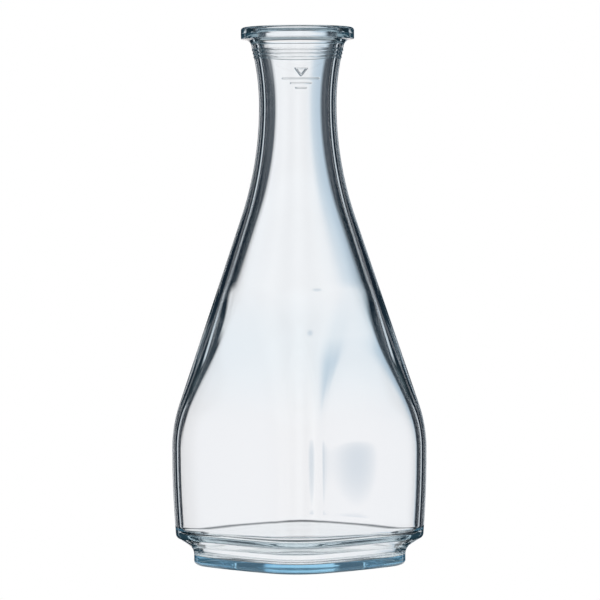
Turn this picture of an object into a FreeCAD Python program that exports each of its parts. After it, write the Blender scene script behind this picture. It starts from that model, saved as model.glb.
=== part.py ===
import FreeCAD, Part

import math
import os

import Sketcher
from FreeCAD import Placement, Rotation, Vector

# One-litre carafe of clear pressed glass: a round neck with a flanged mouth that widens
# into a body of rounded square section, on a smaller stepped foot.
# Millimetres. +Z is up, the origin is the middle of the footprint, and the four flat
# sides face +X, -X, +Y and -Y. A "diagonal" is the distance from the axis to the surface
# through a rounded corner of the square; where the glass is round it is the radius.

os.makedirs("parts", exist_ok=True)
doc = FreeCAD.newDocument("square_carafe")

DIMENSIONS = [
    ("total_height", 252.5, "standing height"),
    # mouth
    ("rim_radius", 26.6, "outside of the mouth flange"),
    ("rim_thickness", 5.7, "flat-sided part of the flange"),
    ("rim_edge", 1.5, "rounding of the flange's upper edges, inside and outside"),
    ("rim_lower_edge", 0.6, "rounding of the flange's lower edge"),
    ("rim_fillet", 3.8, "fillet from the flange to the neck"),
    # fine raised rings under the flange
    ("ring_zone_bottom", 236.5, "height where the plain neck begins"),
    ("ring_top_height", 241.7, "centre height of the uppermost ring"),
    ("ring_pitch", 1.7, "distance between rings"),
    ("ring_radius", 0.6, "radius of a ring's round section"),
    ("ring_relief", 0.3, "how far a ring stands out of the neck"),
    # neck and flare
    ("waist_height", 216.0, "height of the narrowest place"),
    ("waist_radius", 18.2, "outside radius there"),
    ("upper_arc", 110.0, "radius of the neck's outline above the waist"),
    ("flare_arc", 164.0, "radius of the neck's outline below the waist"),
    ("flare_slope", 18.6, "degrees from vertical of the straight cone"),
    ("flare_bottom", 132.0, "height where the section starts to turn square"),
    ("neck_wall", 3.4, "glass thickness of the neck, level"),
    ("shoulder_extra", 2.2, "how much thicker the wall gets where the cone turns square"),
    # square body
    ("hip_diagonal", 59.9, "diagonal at the widest place"),
    ("shoulder_arc", 65.4, "radius of the outline that turns the cone upright"),
    ("wall_bow", 510.0, "radius of the slight bow of the upright wall"),
    ("corner_radius", 18.8, "rounding of the square's corners"),
    ("side_angle", 6.0, "degrees that each bowed side turns from its middle to its end"),
    ("corner_wall", 2.4, "glass thickness at the body's corners"),
    ("side_wall", 2.2, "glass thickness at the middle of a side"),
    # step down to the foot
    ("heel_height", 14.8, "height where the upright wall ends"),
    ("heel_round", 2.8, "rounding of the wall's lower edge"),
    ("step_slope", 32.0, "degrees below level of the step under the wall"),
    ("cove_radius", 5.6, "hollow between the step and the foot"),
    ("foot_diagonal", 49.8, "diagonal of the foot"),
    ("foot_edge", 2.2, "rounding of the foot's lower edge"),
    # inside of the step and floor
    ("inner_heel_height", 18.9, "height where the upright inside ends"),
    ("inner_heel_round", 5.0, "rounding under the upright inside"),
    ("lip_radius", 2.6, "bend from the inside step down into the foot"),
    ("foot_bore", 46.6, "inside diagonal within the foot"),
    ("floor_round", 3.6, "rounding at the edge of the floor"),
    ("floor_height", 4.2, "inside floor above the table"),
    ("hollow_radius", 35.0, "radius of the round hollow under the base"),
    ("hollow_depth", 1.0, "depth of that hollow in the middle"),
    # raised fill mark on the neck
    ("mark_height", 228.0, "height of the long level line, up to which it holds one litre"),
    ("mark_reach", 7.0, "how far above and below that line the mark may reach"),
    ("mark_relief", 0.45, "how far the strokes stand out of the neck"),
    ("mark_stroke", 0.8, "width of a stroke"),
    ("mark_bearing", 51.0, "degrees from -Y round towards +X where the mark is centred"),
]

sheet = doc.addObject("Spreadsheet::Sheet", "sizes")
for row, (alias, number, meaning) in enumerate(DIMENSIONS, start=1):
    sheet.set(f"A{row}", alias)
    sheet.set(f"B{row}", str(number))
    sheet.setAlias(f"B{row}", alias)
    sheet.set(f"C{row}", meaning)
doc.recompute()


def size(alias):
    return float(sheet.get(alias))


def evaluate(expression):
    """The value of a sheet expression as a plain number."""
    return float(sheet.evalExpression(expression))


# ---------------------------------------------------------------- outline expressions
# The neck's outline is an arc on each side of the waist; the inside is the same line
# moved inward by the wall thickness.

INSIDE = " - sizes.neck_wall"
CONE_TOP = "(sizes.waist_height - sizes.flare_arc * sin(sizes.flare_slope))"
CONE_TOP_RADIUS = "(sizes.waist_radius + sizes.flare_arc * (1 - cos(sizes.flare_slope)))"
RIM_UNDERSIDE = "(sizes.total_height - sizes.rim_thickness)"
RIM_ROOT = f"({RIM_UNDERSIDE} - sizes.rim_fillet)"
MOUTH_EDGE = "(sizes.total_height - sizes.rim_edge)"


def upper_neck_radius(height):
    """Outside radius, as an expression, at a height above the waist."""
    return (f"(sizes.waist_radius + sizes.upper_arc"
            f" - sqrt(sizes.upper_arc ^ 2 - ({height} - sizes.waist_height) ^ 2))")


def cone_radius(height):
    """Outside radius, as an expression, at a height on the straight cone."""
    return f"({CONE_TOP_RADIUS} + ({CONE_TOP} - {height}) * tan(sizes.flare_slope))"


# ------------------------------------------------------------------- sketches and bodies

def origin_feature(body, role):
    return next(item for item in body.Origin.OriginFeatures if item.Role == role)


def arc_between(start, end, radius, turn):
    """A minor arc from start to end that turns left or right, and whether it runs backwards."""
    chord = end - start
    half = chord.Length / 2
    reach = math.sqrt(radius ** 2 - half ** 2)
    left = Vector(-chord.y, chord.x, 0).normalize()
    centre = (start + end) / 2 + left * (reach if turn == "left" else -reach)
    first, last = (start, end) if turn == "left" else (end, start)
    circle = Part.Circle(centre, Vector(0, 0, 1), radius)
    from_angle = math.atan2(first.y - centre.y, first.x - centre.x)
    to_angle = math.atan2(last.y - centre.y, last.x - centre.x)
    return Part.ArcOfCircle(circle, from_angle, to_angle), turn == "right"


def outline_sketch(body, name, corners):
    """A closed outline in the body's XZ plane, run through counter-clockwise.

    Each corner is (radius, height, edge): two expressions, and what leads on to the next
    corner, either "line" or (turn, arc radius expression)."""
    sketch = body.newObject("Sketcher::SketchObject", name)
    sketch.AttachmentSupport = [(origin_feature(body, "XZ_Plane"), "")]
    sketch.MapMode = "FlatFace"
    points = [Vector(evaluate(radius), evaluate(height), 0) for radius, height, _ in corners]
    ends = []
    for index, (_, _, edge) in enumerate(corners):
        start, end = points[index], points[(index + 1) % len(points)]
        if edge == "line":
            geometry = sketch.addGeometry(Part.LineSegment(start, end), False)
            ends.append((geometry, 1, 2))
            continue
        turn, arc_radius = edge
        arc, backwards = arc_between(start, end, evaluate(arc_radius), turn)
        geometry = sketch.addGeometry(arc, False)
        ends.append((geometry, 2, 1) if backwards else (geometry, 1, 2))
    for index, (geometry, _, last) in enumerate(ends):
        following, first, _ = ends[(index + 1) % len(ends)]
        sketch.addConstraint(Sketcher.Constraint("Coincident", geometry, last, following, first))
    for (geometry, first, _), point, (radius, height, edge) in zip(ends, points, corners):
        for kind, number, expression in (("DistanceX", point.x, radius), ("DistanceY", point.y, height)):
            row = sketch.addConstraint(Sketcher.Constraint(kind, -1, 1, geometry, first, number))
            sketch.setExpression(f"Constraints[{row}]", expression)
        if edge != "line":
            row = sketch.addConstraint(Sketcher.Constraint("Radius", geometry, evaluate(edge[1])))
            sketch.setExpression(f"Constraints[{row}]", edge[1])
    return sketch


def new_body(label):
    body = doc.addObject("PartDesign::Body", label)
    body.Label = label
    body.Placement = Placement()
    return body


def revolve(body, sketch):
    """Turns a sketch round the body's Z axis."""
    feature = body.newObject("PartDesign::Revolution", sketch.Name + "_turned")
    feature.Profile = sketch
    feature.ReferenceAxis = (origin_feature(body, "Z_Axis"), [""])
    feature.Angle = 360
    sketch.Visibility = False
    return feature


def build_mouth_flange():
    body = new_body("mouth_flange")
    bore_at_lip = upper_neck_radius(MOUTH_EDGE) + INSIDE
    corners = [
        (upper_neck_radius(RIM_ROOT) + INSIDE, RIM_ROOT, "line"),
        (upper_neck_radius(RIM_ROOT), RIM_ROOT, ("right", "sizes.rim_fillet")),
        (f"{upper_neck_radius(RIM_ROOT)} + sizes.rim_fillet", RIM_UNDERSIDE, "line"),
        ("sizes.rim_radius - sizes.rim_lower_edge", RIM_UNDERSIDE, ("left", "sizes.rim_lower_edge")),
        ("sizes.rim_radius", f"{RIM_UNDERSIDE} + sizes.rim_lower_edge", "line"),
        ("sizes.rim_radius", MOUTH_EDGE, ("left", "sizes.rim_edge")),
        ("sizes.rim_radius - sizes.rim_edge", "sizes.total_height", "line"),
        (f"{bore_at_lip} + sizes.rim_edge", "sizes.total_height", ("left", "sizes.rim_edge")),
        (bore_at_lip, MOUTH_EDGE, ("left", "sizes.upper_arc")),
    ]
    revolve(body, outline_sketch(body, "flange_outline", corners))
    return body


def build_neck_rings():
    """The short stretch of neck under the flange, with its three fine rings."""
    body = new_body("neck_rings")
    bottom = "sizes.ring_zone_bottom"
    corners = [
        (upper_neck_radius(bottom) + INSIDE, bottom, "line"),
        (upper_neck_radius(bottom), bottom, ("right", "sizes.upper_arc")),
        (upper_neck_radius(RIM_ROOT), RIM_ROOT, "line"),
        (upper_neck_radius(RIM_ROOT) + INSIDE, RIM_ROOT, ("left", "sizes.upper_arc")),
    ]
    revolve(body, outline_sketch(body, "ring_zone_outline", corners))
    beads = body.newObject("Sketcher::SketchObject", "ring_sections")
    beads.AttachmentSupport = [(origin_feature(body, "XZ_Plane"), "")]
    beads.MapMode = "FlatFace"
    for number in range(3):
        height = f"(sizes.ring_top_height - {number} * sizes.ring_pitch)"
        radius = f"{upper_neck_radius(height)} + sizes.ring_relief - sizes.ring_radius"
        centre = Vector(evaluate(radius), evaluate(height), 0)
        bead = beads.addGeometry(Part.Circle(centre, Vector(0, 0, 1), size("ring_radius")), False)
        for kind, value, expression in (("DistanceX", centre.x, radius), ("DistanceY", centre.y, height)):
            row = beads.addConstraint(Sketcher.Constraint(kind, -1, 1, bead, 3, value))
            beads.setExpression(f"Constraints[{row}]", expression)
        row = beads.addConstraint(Sketcher.Constraint("Radius", bead, size("ring_radius")))
        beads.setExpression(f"Constraints[{row}]", "sizes.ring_radius")
    revolve(body, beads)
    return body


def build_neck():
    body = new_body("neck")
    top, waist = "sizes.ring_zone_bottom", "sizes.waist_height"
    corners = [
        (CONE_TOP_RADIUS + INSIDE, CONE_TOP, "line"),
        (CONE_TOP_RADIUS, CONE_TOP, ("right", "sizes.flare_arc")),
        ("sizes.waist_radius", waist, ("right", "sizes.upper_arc")),
        (upper_neck_radius(top), top, "line"),
        (upper_neck_radius(top) + INSIDE, top, ("left", "sizes.upper_arc")),
        ("sizes.waist_radius" + INSIDE, waist, ("left", "sizes.flare_arc")),
    ]
    revolve(body, outline_sketch(body, "neck_outline", corners))
    return body


def build_flare():
    """The straight cone between the neck's curve and the start of the square."""
    body = new_body("flare")
    bottom = "sizes.flare_bottom"
    corners = [
        (cone_radius(bottom) + INSIDE, bottom, "line"),
        (cone_radius(bottom), bottom, "line"),
        (CONE_TOP_RADIUS, CONE_TOP, "line"),
        (CONE_TOP_RADIUS + INSIDE, CONE_TOP, "line"),
    ]
    revolve(body, outline_sketch(body, "flare_outline", corners))
    return body


# --------------------------------------------------------- lofts of rounded square section
# From the flare down, every level section is a square with rounded corners and slightly
# bowed sides, made of eight arcs. Its corner arcs are centred at (offset, offset), so an
# offset of nought is a circle. The sections change by formula from height to height.

SLOPE = math.radians(size("flare_slope"))
SIDE = math.radians(size("side_angle"))
STEP = math.radians(size("step_slope"))
ROOT_TWO = math.sqrt(2)

hip_diagonal = size("hip_diagonal")
shoulder_arc = size("shoulder_arc")
wall_bow = size("wall_bow")
flare_bottom = size("flare_bottom")
corner_radius = size("corner_radius")

# The shoulder's arc leaves the cone without a kink and is upright at the hip, the widest
# place, so both heights follow from the arc.
cone_foot_diagonal = evaluate(cone_radius("sizes.flare_bottom"))
shoulder_turn_diagonal = hip_diagonal - shoulder_arc * (1 - math.cos(SLOPE))
shoulder_turn_height = flare_bottom - (shoulder_turn_diagonal - cone_foot_diagonal) / math.tan(SLOPE)
hip = shoulder_turn_height - shoulder_arc * math.sin(SLOPE)
full_offset = (hip_diagonal - corner_radius) / ROOT_TWO


def smooth(fraction):
    """Eases from nought to one with level ends."""
    return fraction * fraction * (3 - 2 * fraction)


def squareness(height):
    """Nought where the section is round, one where it is fully square."""
    return smooth((flare_bottom - height) / (flare_bottom - hip))


def outer_diagonal(height):
    """Outside diagonal of the shoulder and the upright wall."""
    if height > shoulder_turn_height:
        return cone_foot_diagonal + (flare_bottom - height) * math.tan(SLOPE)
    arc = shoulder_arc if height > hip else wall_bow
    return hip_diagonal - arc + math.sqrt(arc ** 2 - (height - hip) ** 2)


def outer_offset(height):
    if height > hip:
        return full_offset * squareness(height)
    return (outer_diagonal(height) - corner_radius) / ROOT_TWO


def inner_diagonal(height):
    """Inside diagonal above the inside step. The wall is thickest a third of the way from
    round to square."""
    share = squareness(height) if height > hip else 1
    wall = size("neck_wall") + (size("corner_wall") - size("neck_wall")) * share
    swell = 27 / 4 * share * (1 - share) ** 2
    return outer_diagonal(height) - wall - size("shoulder_extra") * swell


def inner_offset(height):
    """Inside offset: the sides differ from the corners in thickness by a set amount."""
    share = squareness(height) if height > hip else 1
    side_reach = ROOT_TWO - 1 - math.tan(SIDE / 2)
    return outer_offset(height) + share * (size("side_wall") - size("corner_wall")) / side_reach


def section(height, diagonal, offset):
    """The closed eight-arc outline at a height."""
    radius = diagonal - ROOT_TWO * offset
    side_radius = radius + offset / math.sin(SIDE)
    side_centre = Vector(offset - offset / math.tan(SIDE), 0, height)
    corner_centre = Vector(offset, offset, height)

    def point(centre, reach, angle):
        return centre + Vector(reach * math.cos(angle), reach * math.sin(angle), 0)

    side = [point(side_centre, side_radius, angle) for angle in (-SIDE, 0, SIDE)]
    quarter = math.pi / 2
    corner = [point(corner_centre, radius, angle) for angle in (SIDE, quarter / 2, quarter - SIDE)]
    edges = []
    for turn in range(4):
        rotation = Rotation(Vector(0, 0, 1), 90 * turn)
        for arc in (side, corner):
            edges.append(Part.Arc(*[rotation.multVec(spot) for spot in arc]).toShape())
    return Part.Wire(edges)


def loft(sections, ruled=False):
    return Part.makeLoft(sections, True, ruled)


def spread(start, end, count):
    """Evenly spaced numbers from start to end, both included."""
    return [start + (end - start) * step / (count - 1) for step in range(count)]


def step_section(height, diagonal, rounding=corner_radius):
    """A section under the wall, where the corner rounding stays the same."""
    return section(height, diagonal, (diagonal - rounding) / ROOT_TWO)


def outside(bottom, top, count):
    return loft([section(z, outer_diagonal(z), outer_offset(z)) for z in spread(bottom, top, count)])


def inside(bottom, top, count):
    return loft([section(z, inner_diagonal(z), inner_offset(z)) for z in spread(bottom, top, count)])


def straight(bottom, top, diagonal, rounding=corner_radius):
    return loft([step_section(bottom, diagonal, rounding), step_section(top, diagonal, rounding)], ruled=True)


class Step:
    """The way down from the upright wall to the foot: a rounded edge, a straight slope and
    a hollow bend. The inside and the outside of the glass each have one."""

    def __init__(self, wall_diagonal, wall_end, edge, foot, bend, rounding):
        outer = wall_diagonal - edge * (1 - math.sin(STEP))
        inner = foot + bend * (1 - math.sin(STEP))
        self.slope_top = wall_end - edge * math.cos(STEP)
        self.slope_bottom = self.slope_top - (outer - inner) * math.tan(STEP)
        self.foot_top = self.slope_bottom - bend * math.cos(STEP)
        self.edge = []
        for angle in spread(math.pi / 2 - STEP, 0, 5):
            diagonal = wall_diagonal - edge * (1 - math.cos(angle))
            self.edge.append(step_section(wall_end - edge * math.sin(angle), diagonal, rounding))
        self.bend = []
        for angle in spread(0, math.pi / 2 - STEP, 6):
            diagonal = foot + bend * (1 - math.cos(angle))
            self.bend.append(step_section(self.foot_top + bend * math.sin(angle), diagonal, rounding))

    def edge_and_slope(self):
        return loft(self.edge).fuse(loft([self.bend[-1], self.edge[0]], ruled=True))


heel_height = size("heel_height")
foot_diagonal = size("foot_diagonal")
foot_edge = size("foot_edge")
outer_step = Step(outer_diagonal(heel_height), heel_height, size("heel_round"),
                  foot_diagonal, size("cove_radius"), corner_radius)

inner_heel_height = size("inner_heel_height")
foot_bore = size("foot_bore")
floor_round = size("floor_round")
floor_height = size("floor_height")
inner_rounding = inner_diagonal(inner_heel_height) - ROOT_TWO * inner_offset(inner_heel_height)
inner_step = Step(inner_diagonal(inner_heel_height), inner_heel_height, size("inner_heel_round"),
                  foot_bore, size("lip_radius"), inner_rounding)


def cavity():
    """The inside of the body, from the floor up to the hip."""
    rounded = []
    for angle in spread(math.pi / 2, 0, 6):
        diagonal = foot_bore - floor_round * (1 - math.cos(angle))
        height = floor_height + floor_round * (1 - math.sin(angle))
        rounded.append(step_section(height, diagonal, inner_rounding))
    bore = straight(floor_height + floor_round, inner_step.foot_top, foot_bore, inner_rounding)
    room = inside(inner_heel_height, hip, 6)
    for stretch in (inner_step.edge_and_slope(), loft(inner_step.bend), bore, loft(rounded)):
        room = room.fuse(stretch)
    return room


def foot_rounding():
    """The rounded edge that meets the table."""
    sections = []
    for angle in spread(math.pi / 2, 0, 5):
        diagonal = foot_diagonal - foot_edge * (1 - math.cos(angle))
        sections.append(step_section(foot_edge - foot_edge * math.sin(angle), diagonal))
    return loft(sections)


def glass_feature(label, shape):
    feature = doc.addObject("Part::Feature", label)
    feature.Label = label
    feature.Shape = shape
    feature.Placement = Placement()
    return feature


def one_solid(shape):
    """The only solid of a boolean's result."""
    if len(shape.Solids) != 1:
        raise RuntimeError(f"expected one solid, found {len(shape.Solids)}")
    return shape.Solids[0]


def build_shoulder():
    shell = outside(hip, flare_bottom, 12).cut(inside(hip, flare_bottom, 12))
    return glass_feature("shoulder", one_solid(shell))


def build_body_wall():
    return glass_feature("body_wall", one_solid(outside(heel_height, hip, 6).cut(cavity())))


def build_heel():
    """The step under the wall: rounded edge and slope."""
    return glass_feature("heel", one_solid(outer_step.edge_and_slope().cut(cavity())))


def build_foot():
    """The ring that carries the carafe, with the bend above it."""
    block = foot_rounding().fuse(straight(foot_edge, outer_step.foot_top, foot_diagonal))
    block = block.fuse(loft(outer_step.bend))
    plate_room = Part.makeCylinder(size("hollow_radius"), floor_height)
    return glass_feature("foot", one_solid(block.cut(cavity()).cut(plate_room)))


def build_base_plate():
    """The round middle of the floor, hollowed underneath so that only the foot stands."""
    body = new_body("base_plate")
    rim, depth = "sizes.hollow_radius", "sizes.hollow_depth"
    arc = f"(({rim} ^ 2 + {depth} ^ 2) / (2 * {depth}))"
    corners = [
        ("0", depth, ("right", arc)),
        (rim, "0", "line"),
        (rim, "sizes.floor_height", "line"),
        ("0", "sizes.floor_height", "line"),
    ]
    revolve(body, outline_sketch(body, "plate_outline", corners))
    return body


# --------------------------------------------------------------------------- fill mark
# Raised strokes on the neck, the plain sign for a liquid's level: a long level line, an
# open triangle that points down at it and two shorter lines under it. Each stroke is a bar
# from one end to the other, given as (across, up) from the long line's middle, and only
# the part inside a thin band round the neck is kept.

STROKES = {
    "level_line": [((-8.4, 0.0), (8.4, 0.0))],
    "pointer": [((-2.6, 4.6), (2.6, 4.6)), ((2.6, 4.8), (0.0, 1.3)), ((0.0, 1.3), (-2.6, 4.8))],
    "middle_line": [((-4.6, -2.2), (4.6, -2.2))],
    "lowest_line": [((-2.2, -4.4), (2.2, -4.4))],
}
BAR_START = 12.0
BAR_DEPTH = 10.0


def build_mark_band():
    """A thin skin on the neck, as thick as the mark's relief."""
    body = new_body("mark_band")
    bottom, top = "(sizes.mark_height - sizes.mark_reach)", "(sizes.mark_height + sizes.mark_reach)"
    corners = [
        (upper_neck_radius(bottom), bottom, "line"),
        (upper_neck_radius(bottom) + " + sizes.mark_relief", bottom, ("right", "sizes.upper_arc")),
        (upper_neck_radius(top) + " + sizes.mark_relief", top, "line"),
        (upper_neck_radius(top), top, ("left", "sizes.upper_arc")),
    ]
    revolve(body, outline_sketch(body, "band_outline", corners))
    return body


def stroke_bar(name, start, end):
    """A long bar that crosses the band where the stroke is."""
    bar = doc.addObject("Part::Box", name)
    across, up = end[0] - start[0], end[1] - start[1]
    bar.Length = math.hypot(across, up)
    bar.Width = BAR_DEPTH
    bar.setExpression("Height", "sizes.mark_stroke")
    lean = Rotation(Vector(0, 1, 0), -math.degrees(math.atan2(up, across)))
    bearing = Rotation(Vector(0, 0, 1), size("mark_bearing"))
    half_stroke = Vector(0, 0, size("mark_stroke") / 2)
    corner = Vector(start[0], -BAR_START - BAR_DEPTH, start[1]) - lean.multVec(half_stroke)
    lift = Vector(0, 0, size("mark_height"))
    bar.Placement = Placement(bearing.multVec(corner) + lift, bearing.multiply(lean))
    return bar


def build_fill_mark():
    band = build_mark_band()
    bars = []
    for sign, strokes in STROKES.items():
        for number, (start, end) in enumerate(strokes, start=1):
            bars.append(stroke_bar(f"{sign}_{number}", start, end))
    all_bars = doc.addObject("Part::MultiFuse", "mark_bars")
    all_bars.Shapes = bars
    mark = doc.addObject("Part::Common", "fill_mark")
    mark.Label = "fill_mark"
    mark.Base = band
    mark.Tool = all_bars
    mark.Placement = Placement()
    return mark


SUBPARTS = [
    build_mouth_flange(),
    build_neck_rings(),
    build_neck(),
    build_flare(),
    build_shoulder(),
    build_body_wall(),
    build_heel(),
    build_foot(),
    build_base_plate(),
    build_fill_mark(),
]
doc.recompute()

for item in doc.Objects:
    if {"Invalid", "Error"} & set(item.State):
        raise RuntimeError(f"{item.Label} did not build: {item.State}")
for subpart in SUBPARTS:
    if subpart.Shape.isNull() or not subpart.Shape.isValid():
        raise RuntimeError(f"{subpart.Label} has a bad shape")

for subpart in SUBPARTS:
    subpart.Shape.exportStep(f"parts/{subpart.Label}.step")
    volume = subpart.Shape.Volume / 1000
    print(f"{subpart.Label}: {len(subpart.Shape.Solids)} solid(s), {volume:.2f} cm3")
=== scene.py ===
import math

import bpy
import numpy as np
from mathutils import Matrix, Vector


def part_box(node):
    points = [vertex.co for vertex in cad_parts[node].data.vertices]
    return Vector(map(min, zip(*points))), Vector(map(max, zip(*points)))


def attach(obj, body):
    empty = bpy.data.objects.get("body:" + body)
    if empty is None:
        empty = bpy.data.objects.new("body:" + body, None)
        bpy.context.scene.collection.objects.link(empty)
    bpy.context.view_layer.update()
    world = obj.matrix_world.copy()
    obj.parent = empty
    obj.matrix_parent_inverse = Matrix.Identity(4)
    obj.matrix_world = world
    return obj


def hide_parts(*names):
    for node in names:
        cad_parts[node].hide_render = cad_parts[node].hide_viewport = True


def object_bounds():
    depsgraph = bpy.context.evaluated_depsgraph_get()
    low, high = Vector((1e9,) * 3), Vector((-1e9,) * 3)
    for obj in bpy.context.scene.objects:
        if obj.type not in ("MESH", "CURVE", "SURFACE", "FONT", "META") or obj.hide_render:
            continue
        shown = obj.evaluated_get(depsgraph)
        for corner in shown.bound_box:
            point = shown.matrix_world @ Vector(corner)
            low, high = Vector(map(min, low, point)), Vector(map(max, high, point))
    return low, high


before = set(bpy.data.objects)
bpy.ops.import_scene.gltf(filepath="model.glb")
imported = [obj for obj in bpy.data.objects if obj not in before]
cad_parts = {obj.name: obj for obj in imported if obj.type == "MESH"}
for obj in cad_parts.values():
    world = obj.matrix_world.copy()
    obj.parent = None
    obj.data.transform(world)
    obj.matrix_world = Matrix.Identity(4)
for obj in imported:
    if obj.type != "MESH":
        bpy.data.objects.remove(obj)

cad_low, cad_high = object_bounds()

# ------------------------------------------------------------------ driving dimensions
# Metres. They repeat the carafe's CAD dimensions, except that the mark's strokes are
# narrower here; the heights that the frame gives are read from it. A "diagonal" is the
# distance from the axis through a rounded corner.

MM = 0.001

TOTAL_HEIGHT = cad_high.z
RIM_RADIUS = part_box("mouth_flange")[1].x
RIM_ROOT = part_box("mouth_flange")[0].z
RIM_FILLET = 3.8 * MM
RIM_UNDERSIDE = RIM_ROOT + RIM_FILLET
RIM_EDGE = 1.5 * MM
RIM_LOWER_EDGE = 0.6 * MM

RING_COUNT = 3
RING_TOP_HEIGHT = 241.7 * MM
RING_PITCH = 1.7 * MM
RING_HALF_WIDTH = 0.6 * MM
RING_RELIEF = 0.3 * MM

WAIST_HEIGHT = 216.0 * MM
WAIST_RADIUS = 18.2 * MM
UPPER_ARC = 110.0 * MM
FLARE_ARC = 164.0 * MM
SLOPE = math.radians(18.6)
CONE_TOP = WAIST_HEIGHT - FLARE_ARC * math.sin(SLOPE)
CONE_TOP_RADIUS = WAIST_RADIUS + FLARE_ARC * (1 - math.cos(SLOPE))
FLARE_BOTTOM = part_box("shoulder")[1].z
NECK_WALL = 3.4 * MM

HIP_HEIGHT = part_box("shoulder")[0].z
HIP_DIAGONAL = 59.9 * MM
SHOULDER_ARC = 65.4 * MM
WALL_BOW = 510.0 * MM
CORNER_RADIUS = 18.8 * MM
SIDE_ANGLE = math.radians(5.04)
CORNER_WALL = 2.4 * MM
SIDE_WALL = 2.2 * MM
SHOULDER_EXTRA = 2.2 * MM

HEEL_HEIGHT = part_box("body_wall")[0].z
HEEL_ROUND = 2.8 * MM
STEP = math.radians(32.0)
COVE_RADIUS = 5.6 * MM
FOOT_DIAGONAL = 49.8 * MM
FOOT_EDGE = 2.2 * MM

INNER_HEEL_HEIGHT = 18.9 * MM
INNER_HEEL_ROUND = 5.0 * MM
LIP_RADIUS = 2.6 * MM
FOOT_BORE = 46.6 * MM
FLOOR_ROUND = 3.6 * MM
FLOOR_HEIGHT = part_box("base_plate")[1].z
HOLLOW_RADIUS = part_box("base_plate")[1].x
HOLLOW_DEPTH = 1.0 * MM
# The floor and the underside close with a fan of triangles inside a ring this small.
CENTRE_RADIUS = 1.0 * MM

MARK_HEIGHT = 228.0 * MM
MARK_RELIEF = 0.45 * MM
MARK_STROKE = 0.5 * MM
MARK_BEARING = math.radians(51.0)
# The part of the neck's height that has finer rings for the mark.
MARK_BELOW = 5.8 * MM
MARK_ABOVE = 6.2 * MM

ROOT_TWO = math.sqrt(2)
FULL_TURN = 2 * math.pi
QUARTER_TURN = math.pi / 2


# --------------------------------------------------------------- level sections
# A level section is offset * square + radius * circle, both given by the direction that
# the surface faces, so each column of the mesh keeps facing the same way.

SIDE_STEPS = 30
CORNER_STEPS = 90
MARK_STEPS = 84
MARK_HALF_ANGLE = math.radians(27.5)
SQUARE_STEPS = 36000


def facing_angles():
    """The direction each column faces, closer together on the sides and under the mark."""
    side_end = 2 * SIDE_ANGLE
    side = np.linspace(-side_end, side_end, SIDE_STEPS, endpoint=False)
    corner = np.linspace(side_end, QUARTER_TURN - side_end, CORNER_STEPS, endpoint=False)
    angles = np.concatenate([turn * QUARTER_TURN + part for turn in range(4) for part in (side, corner)])
    angles = np.mod(angles, FULL_TURN)
    middle = MARK_BEARING - QUARTER_TURN
    away = np.abs(np.mod(angles - middle + math.pi, FULL_TURN) - math.pi)
    fine = middle + np.linspace(-MARK_HALF_ANGLE, MARK_HALF_ANGLE, MARK_STEPS)
    return np.sort(np.concatenate([angles[away > MARK_HALF_ANGLE], np.mod(fine, FULL_TURN)]))


def unit_square(angles):
    """Points of the square of half-width one with bowed sides and sharp corners, at the
    directions its outline faces. The bow of a side eases in and out."""
    fine = np.linspace(0, FULL_TURN, SQUARE_STEPS + 1)
    from_side = np.mod(fine + math.pi / 4, QUARTER_TURN) - math.pi / 4
    bow = np.where(np.abs(from_side) < 2 * SIDE_ANGLE,
                   0.5 + 0.5 * np.cos(math.pi * from_side / (2 * SIDE_ANGLE)), 0.0)
    step = fine[1] - fine[0]
    side_length = np.sum(bow * np.cos(from_side)) * step / 4
    run = bow * 2 / side_length
    x = np.cumsum(-run * np.sin(fine)) * step
    y = np.cumsum(run * np.cos(fine)) * step
    x -= (x.max() + x.min()) / 2
    y -= (y.max() + y.min()) / 2
    return np.stack([np.interp(angles, fine, x), np.interp(angles, fine, y)], axis=1)


ANGLES = facing_angles()
CIRCLE = np.stack([np.cos(ANGLES), np.sin(ANGLES)], axis=1)
SQUARE = unit_square(ANGLES)


# ------------------------------------------------------------------ outline formulas

def smooth(fraction):
    """Eases from nought to one with level ends."""
    fraction = np.clip(fraction, 0, 1)
    return fraction * fraction * (3 - 2 * fraction)


def squareness(height):
    """Nought where the section is still round, one where it is the full rounded square."""
    return smooth((FLARE_BOTTOM - height) / (FLARE_BOTTOM - HIP_HEIGHT))


SHOULDER_TURN = HIP_HEIGHT + SHOULDER_ARC * math.sin(SLOPE)
FULL_OFFSET = (HIP_DIAGONAL - CORNER_RADIUS) / ROOT_TWO


def outer_diagonal(height):
    """Outside diagonal from the heel up to the flange's fillet."""
    if height > WAIST_HEIGHT:
        return WAIST_RADIUS + UPPER_ARC - math.sqrt(UPPER_ARC ** 2 - (height - WAIST_HEIGHT) ** 2)
    if height > CONE_TOP:
        return WAIST_RADIUS + FLARE_ARC - math.sqrt(FLARE_ARC ** 2 - (height - WAIST_HEIGHT) ** 2)
    if height > SHOULDER_TURN:
        return CONE_TOP_RADIUS + (CONE_TOP - height) * math.tan(SLOPE)
    arc = SHOULDER_ARC if height > HIP_HEIGHT else WALL_BOW
    return HIP_DIAGONAL - arc + math.sqrt(arc ** 2 - (height - HIP_HEIGHT) ** 2)


def outer_offset(height):
    """The outside's share of the square, as its half-width."""
    if height > HIP_HEIGHT:
        return FULL_OFFSET * float(squareness(height))
    return (outer_diagonal(height) - CORNER_RADIUS) / ROOT_TWO


def inner_ring(height):
    """(height, diagonal, offset) of the inside where the wall stands clear of the floor."""
    share = float(squareness(height))
    # This swell is nought at both ends and one where the share is a third.
    swell = 27 / 4 * share * (1 - share) ** 2
    wall = NECK_WALL + (CORNER_WALL - NECK_WALL) * share + SHOULDER_EXTRA * swell
    side_reach = ROOT_TWO - 1 - math.tan(SIDE_ANGLE / 2)
    extra = share * (SIDE_WALL - CORNER_WALL) / side_reach
    return height, outer_diagonal(height) - wall, outer_offset(height) + extra


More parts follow.
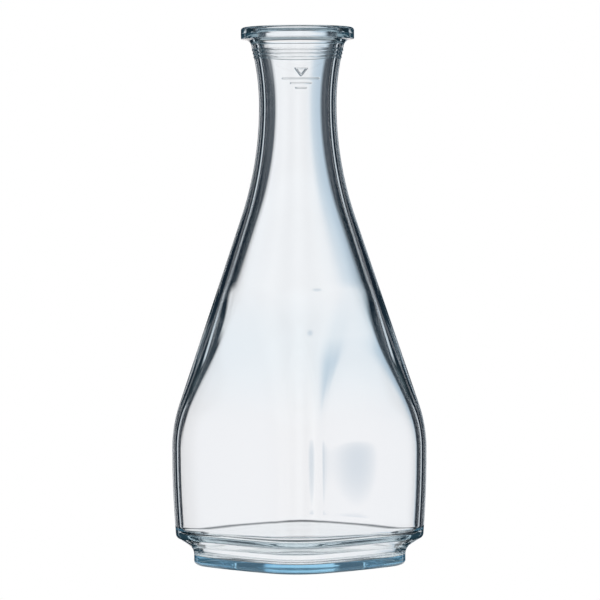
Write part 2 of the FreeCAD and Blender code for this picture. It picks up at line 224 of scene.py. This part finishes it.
def stepped_ring(height, diagonal, radius):
    """A ring under the wall, where the corner rounding stays the same."""
    return height, diagonal, (diagonal - radius) / ROOT_TWO


def bead_relief(height):
    """How far the three moulded rings stand out of the neck at a height."""
    relief = 0.0
    for number in range(RING_COUNT):
        across = abs(height - RING_TOP_HEIGHT + number * RING_PITCH) / RING_HALF_WIDTH
        if across < 1:
            relief = RING_RELIEF * (0.5 + 0.5 * math.cos(math.pi * across))
    return relief


def heights_through(spans):
    """Heights through spans of (from, to, count), each without its own first height."""
    return np.concatenate([np.linspace(start, end, count)[1:] for start, end, count in spans])


def underside_rings():
    """From the middle of the round hollow out to the foot's rounded edge."""
    sphere = (HOLLOW_RADIUS ** 2 + HOLLOW_DEPTH ** 2) / (2 * HOLLOW_DEPTH)
    rings = []
    for radius in np.linspace(CENTRE_RADIUS, HOLLOW_RADIUS, 20):
        rings.append((HOLLOW_DEPTH - sphere + math.sqrt(sphere ** 2 - radius ** 2), radius, 0.0))
    outer = FOOT_DIAGONAL - FOOT_EDGE
    for share in np.linspace(0, 1, 10)[1:-1]:
        diagonal = HOLLOW_RADIUS + (outer - HOLLOW_RADIUS) * share
        rings.append((0.0, diagonal, (outer - CORNER_RADIUS) / ROOT_TWO * share))
    return rings


def step_profile(wall_diagonal, wall_end, edge_radius, foot, hollow_radius):
    """(height, diagonal) pairs up from the foot's upright side to the wall's lower end: a
    hollow, the sloping step and the rounded edge under the wall."""
    step_outer = wall_diagonal - edge_radius * (1 - math.sin(STEP))
    step_top = wall_end - edge_radius * math.cos(STEP)
    step_inner = foot + hollow_radius * (1 - math.sin(STEP))
    step_bottom = step_top - (step_outer - step_inner) * math.tan(STEP)
    hollow_foot = step_bottom - hollow_radius * math.cos(STEP)
    pairs = []
    for angle in np.linspace(0, QUARTER_TURN - STEP, 14):
        pairs.append((hollow_foot + hollow_radius * math.sin(angle),
                      foot + hollow_radius * (1 - math.cos(angle))))
    for share in np.linspace(0, 1, 8)[1:-1]:
        pairs.append((step_bottom + (step_top - step_bottom) * share,
                      step_inner + (step_outer - step_inner) * share))
    for angle in np.linspace(QUARTER_TURN - STEP, 0, 14):
        pairs.append((wall_end - edge_radius * math.sin(angle),
                      wall_diagonal - edge_radius * (1 - math.cos(angle))))
    return pairs


def foot_rings():
    """The outside from the foot's rounded lower edge up to the wall's lower end."""
    rings = []
    for angle in np.linspace(QUARTER_TURN, 0, 10):
        diagonal = FOOT_DIAGONAL - FOOT_EDGE * (1 - math.cos(angle))
        rings.append(stepped_ring(FOOT_EDGE * (1 - math.sin(angle)), diagonal, CORNER_RADIUS))
    heel = step_profile(outer_diagonal(HEEL_HEIGHT), HEEL_HEIGHT, HEEL_ROUND, FOOT_DIAGONAL, COVE_RADIUS)
    for height in np.linspace(FOOT_EDGE, heel[0][0], 6)[1:-1]:
        rings.append(stepped_ring(height, FOOT_DIAGONAL, CORNER_RADIUS))
    return rings + [stepped_ring(height, diagonal, CORNER_RADIUS) for height, diagonal in heel]


def wall_rings():
    """The outside from the heel to the flange's fillet."""
    mark_low = MARK_HEIGHT - MARK_BELOW
    mark_high = MARK_HEIGHT + MARK_ABOVE
    bead_low = RING_TOP_HEIGHT - 2 * RING_PITCH - 2 * RING_HALF_WIDTH
    bead_high = RING_TOP_HEIGHT + 1.5 * RING_HALF_WIDTH
    heights = heights_through([
        (HEEL_HEIGHT, HIP_HEIGHT, 18),
        (HIP_HEIGHT, SHOULDER_TURN, 16),
        (SHOULDER_TURN, CONE_TOP, 36),
        (CONE_TOP, WAIST_HEIGHT, 20),
        (WAIST_HEIGHT, mark_low, 8),
        (mark_low, mark_high, 60),
        (mark_high, bead_low, 4),
        (bead_low, bead_high, 40),
        (bead_high, RIM_ROOT, 4),
    ])
    return [(z, outer_diagonal(z) + bead_relief(z), outer_offset(z)) for z in heights]


def flange_rings():
    """Round the flange, from the end of its fillet over the top to the inner lip."""
    root = outer_diagonal(RIM_ROOT)
    lower = RIM_RADIUS - RIM_LOWER_EDGE
    side_foot = RIM_UNDERSIDE + RIM_LOWER_EDGE
    mouth_edge = TOTAL_HEIGHT - RIM_EDGE
    bore = outer_diagonal(mouth_edge) - NECK_WALL
    top_outer = RIM_RADIUS - RIM_EDGE
    top_inner = bore + RIM_EDGE
    flat_shares = (0.33, 0.67)
    rings = []
    for angle in np.linspace(0, QUARTER_TURN, 10)[1:]:
        rings.append((RIM_ROOT + RIM_FILLET * math.sin(angle), root + RIM_FILLET * (1 - math.cos(angle))))
    rings.append((RIM_UNDERSIDE, (rings[-1][1] + lower) / 2))
    for angle in np.linspace(0, QUARTER_TURN, 6):
        rings.append((RIM_UNDERSIDE + RIM_LOWER_EDGE * (1 - math.cos(angle)),
                      lower + RIM_LOWER_EDGE * math.sin(angle)))
    for share in flat_shares:
        rings.append((side_foot + (mouth_edge - side_foot) * share, RIM_RADIUS))
    for angle in np.linspace(0, QUARTER_TURN, 9):
        rings.append((mouth_edge + RIM_EDGE * math.sin(angle), top_outer + RIM_EDGE * math.cos(angle)))
    for share in flat_shares:
        rings.append((TOTAL_HEIGHT, top_outer + (top_inner - top_outer) * share))
    for angle in np.linspace(QUARTER_TURN, 0, 9):
        rings.append((mouth_edge + RIM_EDGE * math.sin(angle), top_inner - RIM_EDGE * math.cos(angle)))
    return [(height, radius, 0.0) for height, radius in rings]


def inside_rings():
    """The inside from the lip down to the middle of the floor."""
    heights = heights_through([
        (TOTAL_HEIGHT - RIM_EDGE, WAIST_HEIGHT, 16),
        (WAIST_HEIGHT, CONE_TOP, 20),
        (CONE_TOP, SHOULDER_TURN, 36),
        (SHOULDER_TURN, HIP_HEIGHT, 16),
        (HIP_HEIGHT, INNER_HEEL_HEIGHT, 14),
    ])
    rings = [inner_ring(height) for height in heights]
    _, diagonal, offset = rings[-1]
    radius = diagonal - ROOT_TWO * offset
    step = step_profile(diagonal, INNER_HEEL_HEIGHT, INNER_HEEL_ROUND, FOOT_BORE, LIP_RADIUS)
    rings += [stepped_ring(height, reach, radius) for height, reach in reversed(step[:-1])]
    for angle in np.linspace(0, QUARTER_TURN, 16):
        height = FLOOR_HEIGHT + FLOOR_ROUND * (1 - math.sin(angle))
        rings.append(stepped_ring(height, FOOT_BORE - FLOOR_ROUND * (1 - math.cos(angle)), radius))
    _, floor_diagonal, floor_offset = rings[-1]
    for share in np.linspace(1, 0, 16)[1:]:
        diagonal = CENTRE_RADIUS + (floor_diagonal - CENTRE_RADIUS) * share
        rings.append((FLOOR_HEIGHT, diagonal, floor_offset * share))
    return rings


# ------------------------------------------------------------------------ fill mark
# The plain sign for a liquid's level, each stroke given as (across, up) in millimetres.

STROKES = [
    ((-8.4, 0.0), (8.4, 0.0)),
    ((-2.6, 4.6), (2.6, 4.6)),
    ((2.6, 4.6), (0.0, 1.3)),
    ((0.0, 1.3), (-2.6, 4.6)),
    ((-4.6, -2.2), (4.6, -2.2)),
    ((-2.2, -4.4), (2.2, -4.4)),
]
STROKE_EDGE = 0.4 * MM


def stroke_relief(points):
    """How far the raised strokes lift each outside point of the neck."""
    across_way = np.array([math.cos(MARK_BEARING), math.sin(MARK_BEARING)])
    front_way = np.array([math.sin(MARK_BEARING), -math.cos(MARK_BEARING)])
    across = points[:, :2] @ across_way
    front = points[:, :2] @ front_way
    up = points[:, 2] - MARK_HEIGHT
    nearest = np.full(len(points), np.inf)
    for start, end in STROKES:
        start = np.array(start) * MM
        along = np.array(end) * MM - start
        share = ((across - start[0]) * along[0] + (up - start[1]) * along[1]) / (along @ along)
        share = np.clip(share, 0, 1)
        gap = np.hypot(across - start[0] - share * along[0], up - start[1] - share * along[1])
        nearest = np.minimum(nearest, gap)
    lift = smooth((MARK_STROKE / 2 + STROKE_EDGE / 2 - nearest) / STROKE_EDGE)
    return np.where(front > 0, lift * MARK_RELIEF, 0.0)


# ------------------------------------------------------------------------- the glass

def ring_points(height, diagonal, offset):
    """The points of one level section."""
    radius = diagonal - ROOT_TWO * offset
    flat = offset * SQUARE + radius * CIRCLE
    return np.column_stack([flat, np.full(len(flat), height)])


def build_glass():
    """One closed mesh: up the outside, over the flange and down the inside."""
    outer = underside_rings() + foot_rings() + wall_rings()
    rings = outer + flange_rings() + inside_rings()
    columns = len(ANGLES)
    points = np.concatenate([ring_points(*ring) for ring in rings])
    outside = slice(0, len(outer) * columns)
    lift = stroke_relief(points[outside])
    facing = np.tile(CIRCLE, (len(outer), 1))
    points[outside, :2] += facing * lift[:, None]
    under_centre = len(points)
    floor_centre = under_centre + 1
    centres = np.array([[0, 0, HOLLOW_DEPTH], [0, 0, FLOOR_HEIGHT]])
    points = np.concatenate([points, centres])
    faces = []
    for row in range(len(rings) - 1):
        for column in range(columns):
            following = (column + 1) % columns
            here = row * columns + column
            beside = row * columns + following
            faces.append((here, beside, beside + columns, here + columns))
    last = (len(rings) - 1) * columns
    for column in range(columns):
        following = (column + 1) % columns
        faces.append((following, column, under_centre))
        faces.append((last + column, last + following, floor_centre))
    mesh = bpy.data.meshes.new("carafe_glass")
    mesh.from_pydata(points.tolist(), [], faces)
    mesh.validate()
    mesh.shade_smooth()
    glass = bpy.data.objects.new("carafe_glass", mesh)
    bpy.context.scene.collection.objects.link(glass)
    return glass


def color_ramp(nodes, links, value, stops):
    """A colour ramp through (position, colour) stops."""
    ramp = nodes.new("ShaderNodeValToRGB")
    elements = ramp.color_ramp.elements
    for element, (position, tone) in zip(elements, (stops[0], stops[-1])):
        element.position = position
        element.color = (*tone, 1)
    for position, tone in stops[1:-1]:
        elements.new(position).color = (*tone, 1)
    links.new(value, ramp.inputs[0])
    return ramp.outputs[0]


def math_node(nodes, links, operation, *values):
    """A calculation on numbers or on other nodes' outputs."""
    node = nodes.new("ShaderNodeMath")
    node.operation = operation
    for socket, value in zip(node.inputs, values):
        if isinstance(value, (int, float)):
            socket.default_value = value
        else:
            links.new(value, socket)
    return node.outputs[0]


GLASS_INDEX = 1.52
BODY_TINT = (0.05, 0.55, 0.76, 1)
BODY_DENSITY = 14.0
# Light that rattles round inside the thick flange and foot is cut off by the renderer's
# limit on reflections. A faint light of the glass itself stands for it.
GLOW_TINT = (0.35, 0.75, 1.0, 1)
GLOW_STRENGTH = 1.8

STIPPLE_INNER_RADIUS = 40 * MM
STIPPLE_ROUGHNESS = 0.9
STIPPLE_TOP = 0.25 * MM
STIPPLE_PITCH = 1.2 * MM
STIPPLE_DEPTH = 0.3 * MM


def glass_material():
    """Clear glass with a faint blue body colour and glow, fire-polished except for the
    ring that stands on the table, which is moulded with fine bumps."""
    material = bpy.data.materials.new("clear_glass")
    material.use_nodes = True
    nodes, links = material.node_tree.nodes, material.node_tree.links
    shader = nodes["Principled BSDF"]
    shader.inputs["Base Color"].default_value = (1, 1, 1, 1)
    shader.inputs["IOR"].default_value = GLASS_INDEX
    shader.inputs["Transmission Weight"].default_value = 1.0
    place = nodes.new("ShaderNodeTexCoord").outputs["Object"]
    split = nodes.new("ShaderNodeSeparateXYZ")
    links.new(place, split.inputs[0])
    standing = math_node(nodes, links, "LESS_THAN", split.outputs["Z"], STIPPLE_TOP)
    radius = nodes.new("ShaderNodeVectorMath")
    radius.operation = "LENGTH"
    links.new(place, radius.inputs[0])
    ring = math_node(nodes, links, "GREATER_THAN", radius.outputs["Value"], STIPPLE_INNER_RADIUS)
    stippled = math_node(nodes, links, "MULTIPLY", standing, ring)
    roughness = math_node(nodes, links, "MULTIPLY", stippled, STIPPLE_ROUGHNESS)
    links.new(roughness, shader.inputs["Roughness"])
    dots = nodes.new("ShaderNodeTexVoronoi")
    dots.inputs["Scale"].default_value = 1 / STIPPLE_PITCH
    links.new(place, dots.inputs["Vector"])
    bump = nodes.new("ShaderNodeBump")
    bump.inputs["Distance"].default_value = STIPPLE_DEPTH
    links.new(stippled, bump.inputs["Strength"])
    links.new(dots.outputs["Distance"], bump.inputs["Height"])
    links.new(bump.outputs["Normal"], shader.inputs["Normal"])
    absorb = nodes.new("ShaderNodeVolumeAbsorption")
    absorb.inputs["Color"].default_value = BODY_TINT
    absorb.inputs["Density"].default_value = BODY_DENSITY
    glow = nodes.new("ShaderNodeEmission")
    glow.inputs["Color"].default_value = GLOW_TINT
    glow.inputs["Strength"].default_value = GLOW_STRENGTH
    volume = nodes.new("ShaderNodeAddShader")
    links.new(absorb.outputs["Volume"], volume.inputs[0])
    links.new(glow.outputs[0], volume.inputs[1])
    links.new(volume.outputs[0], nodes["Material Output"].inputs["Volume"])
    return material


# --------------------------------------------------------------------------- the studio

VIEW_BEARING = math.radians(46.1)

# Each part of the studio has tones by bearing, in degrees to the right of what is straight
# behind the carafe as the camera sees it, and shares of them by height, in degrees above
# level. The parts add up. Behind the carafe the panels are crisp; on the camera's side
# they are soft, so reflections stay smooth.
WHITE = (1.00, 0.965, 0.965)
DARK = (0.004, 0.006, 0.012)
BLACK = (0.0, 0.0, 0.0)
SIDE_PANEL = (0.75, 0.78, 0.82)
FRONT_BRIGHT = (0.75, 0.77, 0.80)
FRONT_SOFT = (0.62, 0.66, 0.72)
FRONT_GREY = (0.50, 0.53, 0.58)
FRONT_DIM = (0.40, 0.42, 0.46)
CEILING = (0.28, 0.34, 0.37)
TABLE = (0.86, 0.88, 0.90)


def rear_tones(middle):
    """The tones of the half behind the carafe, around those of its middle."""
    left = [(-80, BLACK), (-76, DARK), (-50, DARK), (-48, SIDE_PANEL), (-43, SIDE_PANEL), (-41, DARK)]
    right = [(-bearing, tone) for bearing, tone in reversed(left)]
    return left + middle + right


# Behind the carafe, as seen through the neck and the upper body.
BACK_TONES = rear_tones([
    (-9.6, DARK),
    (-8, WHITE),
    (2.5, WHITE),
    (4.5, (0.60, 0.68, 0.76)),
    (9, (0.48, 0.58, 0.68)),
    (10.5, DARK),
])
BACK_HEIGHTS = [(-90, 0.0), (-4, 0.0), (1.5, 1.0), (16, 1.0), (20, 0.0), (90, 0.0)]

# The same lower down, as seen through the lower body.
LOW_TONES = rear_tones([
    (-13.5, DARK),
    (-11.5, WHITE),
    (3, WHITE),
    (8, (0.76, 0.81, 0.86)),
    (10, (0.40, 0.47, 0.53)),
    (12, DARK),
])
LOW_HEIGHTS = [(-90, 0.0), (-25, 0.0), (-19, 1.0), (-4, 1.0), (1.5, 0.0), (90, 0.0)]

# The half on the camera's side.
FRONT_TONES = [
    (-180, FRONT_BRIGHT),
    (-158, FRONT_DIM),
    (-134, FRONT_BRIGHT),
    (-112, FRONT_GREY),
    (-98, FRONT_SOFT),
    (-80, FRONT_SOFT),
    (-76, BLACK),
    (76, BLACK),
    (80, FRONT_SOFT),
    (98, FRONT_SOFT),
    (112, FRONT_GREY),
    (134, FRONT_BRIGHT),
    (158, FRONT_DIM),
    (180, FRONT_BRIGHT),
]
FRONT_HEIGHTS = [(-90, 0.2), (-50, 0.3), (-10, 1.0), (20, 1.0), (60, 0.5), (90, 0.4)]

# A soft light above and the pale table below are the same all round.
TOP_TONES = [(-180, CEILING), (180, CEILING)]
TOP_HEIGHTS = [(-90, 0.0), (20, 0.0), (26, 1.0), (60, 1.0), (70, 0.0), (90, 0.0)]
TABLE_TONES = [(-180, TABLE), (180, TABLE)]
TABLE_HEIGHTS = [(-90, 1.0), (-48, 1.0), (-42, 0.0), (90, 0.0)]

STUDIO = [
    (BACK_TONES, BACK_HEIGHTS),
    (LOW_TONES, LOW_HEIGHTS),
    (FRONT_TONES, FRONT_HEIGHTS),
    (TOP_TONES, TOP_HEIGHTS),
    (TABLE_TONES, TABLE_HEIGHTS),
]

# A small blue-grey card low behind the carafe, out of focus, in degrees.
CARD_BEARING = 1.22
CARD_HEIGHT = -4.1
CARD_HALF_WIDTH = 0.42
CARD_HALF_HEIGHT = 0.75
CARD_STRENGTH = 0.36
CARD_TONE = (0.30, 0.42, 0.54, 1)

# Whole turns added to a bearing so that its fraction of a turn is never negative.
SPARE_TURNS = 10


def build_world():
    """A white panel behind the carafe with dark gaps beside it, so that the edges of the
    glass draw dark lines, soft panels in front, a light above, a pale table below and a
    small card. The camera itself sees plain white."""
    world = bpy.data.worlds.new("studio")
    bpy.context.scene.world = world
    world.use_nodes = True
    nodes, links = world.node_tree.nodes, world.node_tree.links
    nodes.clear()
    coords = nodes.new("ShaderNodeTexCoord")
    split = nodes.new("ShaderNodeSeparateXYZ")
    links.new(coords.outputs["Generated"], split.inputs[0])

    def calc(operation, *values):
        """A calculation in the world's own nodes."""
        return math_node(nodes, links, operation, *values)

    bearing = calc("ARCTAN2", split.outputs["X"], calc("MULTIPLY", split.outputs["Y"], -1.0))
    turn = calc("DIVIDE", calc("SUBTRACT", VIEW_BEARING, bearing), FULL_TURN)
    share_round = calc("FRACT", calc("ADD", turn, SPARE_TURNS))
    share_up = calc("ADD", calc("MULTIPLY", split.outputs["Z"], 0.5), 0.5)

    def part_of_studio(tones, heights):
        """The light of one part: its tone by bearing, dimmed by its share at a height."""
        across = color_ramp(nodes, links, share_round,
                            [(0.5 + angle / 360, tone) for angle, tone in tones])
        upright = color_ramp(nodes, links, share_up,
                             [(0.5 + 0.5 * math.sin(math.radians(angle)), (share, share, share))
                              for angle, share in heights])
        light = nodes.new("ShaderNodeMix")
        light.data_type = "RGBA"
        light.blend_type = "MULTIPLY"
        light.inputs["Factor"].default_value = 1.0
        links.new(across, light.inputs["A"])
        links.new(upright, light.inputs["B"])
        background = nodes.new("ShaderNodeBackground")
        links.new(light.outputs["Result"], background.inputs["Color"])
        return background.outputs[0]

    lights = [part_of_studio(tones, heights) for tones, heights in STUDIO]
    together = lights[0]
    for light in lights[1:]:
        both = nodes.new("ShaderNodeAddShader")
        links.new(together, both.inputs[0])
        links.new(light, both.inputs[1])
        together = both.outputs[0]

    card_across = math.radians(CARD_HALF_WIDTH) / FULL_TURN
    across = calc("DIVIDE", calc("SUBTRACT", share_round, 0.5 + CARD_BEARING / 360), card_across)
    above = calc("SUBTRACT", split.outputs["Z"], math.sin(math.radians(CARD_HEIGHT)))
    upward = calc("DIVIDE", above, math.radians(CARD_HALF_HEIGHT))
    spread = calc("ADD", calc("MULTIPLY", across, across), calc("MULTIPLY", upward, upward))
    cover = calc("MULTIPLY", calc("MAXIMUM", calc("SUBTRACT", 1.0, spread), 0.0), CARD_STRENGTH)
    card = nodes.new("ShaderNodeBackground")
    card.inputs["Color"].default_value = CARD_TONE
    with_card = nodes.new("ShaderNodeMixShader")
    links.new(cover, with_card.inputs["Fac"])
    links.new(together, with_card.inputs[1])
    links.new(card.outputs[0], with_card.inputs[2])

    backdrop = nodes.new("ShaderNodeBackground")
    backdrop.inputs["Color"].default_value = (1, 1, 1, 1)
    path = nodes.new("ShaderNodeLightPath")
    mix = nodes.new("ShaderNodeMixShader")
    links.new(path.outputs["Is Camera Ray"], mix.inputs["Fac"])
    links.new(with_card.outputs[0], mix.inputs[1])
    links.new(backdrop.outputs[0], mix.inputs[2])
    output = nodes.new("ShaderNodeOutputWorld")
    links.new(mix.outputs[0], output.inputs["Surface"])


FLOOR_SIDES = 96
FLOOR_INNER = 0.1 * MM
FLOOR_OUTER = 320 * MM
FLOOR_DROP = 0.6 * MM
FLOOR_TONE = (1, 1, 1)
PATCH_INNER = 42 * MM
PATCH_OUTER = 54 * MM
PATCH_DROP = 0.4 * MM
PATCH_TONE = (0.85, 0.85, 0.85)


def glowing_ring(name, inner, outer, drop, tone):
    """A level ring under the carafe that gives off its own light."""
    turns = [FULL_TURN * number / FLOOR_SIDES for number in range(FLOOR_SIDES)]
    points = [(radius * math.cos(turn), radius * math.sin(turn), -drop)
              for radius in (inner, outer) for turn in turns]
    faces = []
    for number in range(FLOOR_SIDES):
        following = (number + 1) % FLOOR_SIDES
        faces.append((number, FLOOR_SIDES + number, FLOOR_SIDES + following, following))
    mesh = bpy.data.meshes.new(name)
    mesh.from_pydata(points, [], faces)
    ring = bpy.data.objects.new(name, mesh)
    bpy.context.scene.collection.objects.link(ring)
    material = bpy.data.materials.new(name)
    material.use_nodes = True
    nodes, links = material.node_tree.nodes, material.node_tree.links
    nodes.clear()
    glow = nodes.new("ShaderNodeEmission")
    glow.inputs["Color"].default_value = (*tone, 1)
    output = nodes.new("ShaderNodeOutputMaterial")
    links.new(glow.outputs[0], output.inputs["Surface"])
    mesh.materials.append(material)
    return ring


def build_floor():
    """A white floor that the glass does not show, and a pale ring that only the glass shows."""
    floor = glowing_ring("floor", FLOOR_INNER, FLOOR_OUTER, FLOOR_DROP, FLOOR_TONE)
    floor.visible_transmission = False
    floor.visible_glossy = False
    patch = glowing_ring("floor_patch", PATCH_INNER, PATCH_OUTER, PATCH_DROP, PATCH_TONE)
    patch.visible_camera = False


CAMERA_DISTANCE = 1.689
CAMERA_HEIGHT = 0.1701
CAMERA_PITCH = math.radians(-1.546)
CAMERA_YAW = math.radians(-0.022)
CAMERA_ROLL = math.radians(-0.25)
SENSOR_MM = 36
LENS_MM = 215.6


def build_camera():
    """Level with the lower end of the neck, corner-on and tilted slightly down."""
    data = bpy.data.cameras.new("camera")
    data.sensor_width = SENSOR_MM
    data.lens = LENS_MM
    camera = bpy.data.objects.new("camera", data)
    bpy.context.scene.collection.objects.link(camera)
    back = Vector((math.sin(VIEW_BEARING), -math.cos(VIEW_BEARING), 0))
    camera.location = back * CAMERA_DISTANCE + Vector((0, 0, CAMERA_HEIGHT))
    turned = Matrix.Rotation(VIEW_BEARING + CAMERA_YAW, 4, "Z")
    tilted = Matrix.Rotation(QUARTER_TURN + CAMERA_PITCH, 4, "X")
    rolled = Matrix.Rotation(CAMERA_ROLL, 4, "Z")
    camera.rotation_mode = "QUATERNION"
    camera.rotation_quaternion = (turned @ tilted @ rolled).to_quaternion()
    bpy.context.scene.camera = camera


build_camera()
build_world()
build_floor()
glass = build_glass()
glass.data.materials.append(glass_material())
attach(glass, "root")
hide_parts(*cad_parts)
bpy.context.scene.view_settings.view_transform = "Standard"
